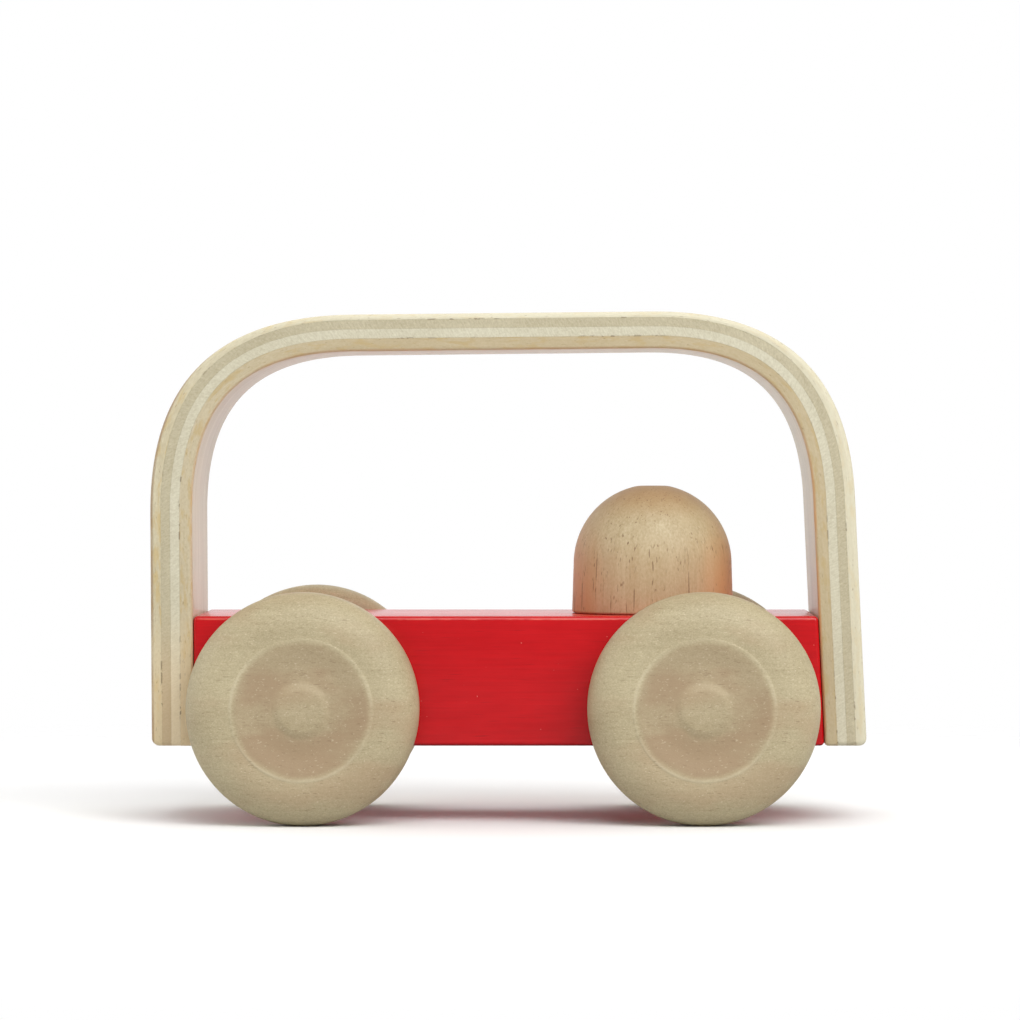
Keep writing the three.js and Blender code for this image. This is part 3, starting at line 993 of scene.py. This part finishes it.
wheel_finish = wheel_wood()
for node, body, wheel in list(make_wheels()):
    hand_over(wheel, node, body, wheel_finish)

pin_finish = dowel_wood()
for node, body in (("rear_axle", "rear_wheelset"), ("front_axle", "front_wheelset")):
    axle_pin = make_pin(f"{node}_pin", node, ACROSS, size_of(node).y)
    hand_over(axle_pin, node, body, pin_finish)
driver_peg = make_pin("driver_peg", "driver_dowel", UPRIGHT, size_of("driver_dowel").z)
hand_over(driver_peg, "driver_dowel", "car_body", pin_finish)
for node, direction in leg_dowels():
    leg_pin = make_pin(f"{node}_pin", node, direction, LEG_DOWEL_LENGTH)
    hand_over(leg_pin, node, "car_body", pin_finish)


# Studio

def make_floor():
    """A round floor that keeps a soft shadow, fades into white and hides nothing from below."""
    deselect_all()
    bpy.ops.mesh.primitive_circle_add(vertices=FLOOR_SIDES, radius=FLOOR_RADIUS, fill_type="NGON")
    floor = bpy.context.object
    floor.name = "floor"
    finish = Finish("white_floor", Roughness=1.0, Specular_IOR_Level=0.0)
    place = finish.place()
    _, back, _ = place.parts()
    distance = finish.node("ShaderNodeVectorMath", {0: place}, "Value", operation="LENGTH")
    from_above = 1 - finish.node("ShaderNodeNewGeometry", {}, "Backfacing")
    seen = finish.light_path("Is Camera Ray")
    mirrored = finish.light_path("Is Glossy Ray")
    sheen = finish.mix(back.between(-2 * half_width, 4 * half_width), FLOOR_SHEEN, WHITE)
    whole = distance.between(0.9 * FLOOR_RADIUS, 0.35 * FLOOR_RADIUS)
    shown = distance.between(SHADOW_END, SHADOW_START) * from_above
    finish.paint(
        Base_Color=finish.mix(seen, finish.mix(mirrored, FLOOR_BOUNCE, sheen), WHITE),
        Alpha=whole + (shown - whole) * seen,
    )
    floor.data.materials.append(finish.material)


def make_world():
    """A white backdrop that lights the car from behind and a dim room in front; the camera sees white."""
    world = bpy.data.worlds.new("studio")
    bpy.context.scene.world = world
    world.use_nodes = True
    nodes = Nodes(world.node_tree)
    _, back, _ = nodes.node("ShaderNodeTexCoord", {}, "Generated").parts()
    level = ROOM_LIGHT + (BACKDROP_LIGHT - ROOM_LIGHT) * back.between(0.0, 0.5)
    seen = nodes.light_path("Is Camera Ray")
    background = nodes.tree.nodes["Background"]
    nodes.feed(background.inputs["Color"], WHITE)
    nodes.feed(background.inputs["Strength"], level + (1.0 - level) * seen)


def make_lamp(name, position, side, power):
    """A soft square lamp that faces the car."""
    lamp = bpy.data.lights.new(name, "AREA")
    lamp.shape = "SQUARE"
    lamp.size = side
    lamp.energy = power
    holder = bpy.data.objects.new(name, lamp)
    holder.location = position
    holder.rotation_euler = (Vector(LAMP_TARGET) - Vector(position)).to_track_quat("-Z", "Y").to_euler()
    bpy.context.scene.collection.objects.link(holder)


def make_camera():
    """A level camera whose shifted lens frames the car as in the photograph."""
    camera = bpy.data.cameras.new("camera")
    camera.sensor_width = SENSOR_WIDTH
    camera.lens = SENSOR_WIDTH * CAMERA_DISTANCE / (NEAR_FACE_SCALE * IMAGE_SIDE)
    camera.shift_x = 0.5 - LEVEL_PIXEL[0] / IMAGE_SIDE
    camera.shift_y = LEVEL_PIXEL[1] / IMAGE_SIDE - 0.5
    holder = bpy.data.objects.new("camera", camera)
    holder.location = (
        (LEVEL_PIXEL[0] - ORIGIN_PIXEL[0]) * NEAR_FACE_SCALE,
        -half_width - CAMERA_DISTANCE,
        (ORIGIN_PIXEL[1] - LEVEL_PIXEL[1]) * NEAR_FACE_SCALE,
    )
    holder.rotation_euler = (pi / 2, 0, 0)
    bpy.context.scene.collection.objects.link(holder)
    bpy.context.scene.camera = holder


make_floor()
make_world()
for lamp_row in LAMPS:
    make_lamp(*lamp_row)
make_camera()
bpy.context.scene.view_settings.view_transform = "Standard"
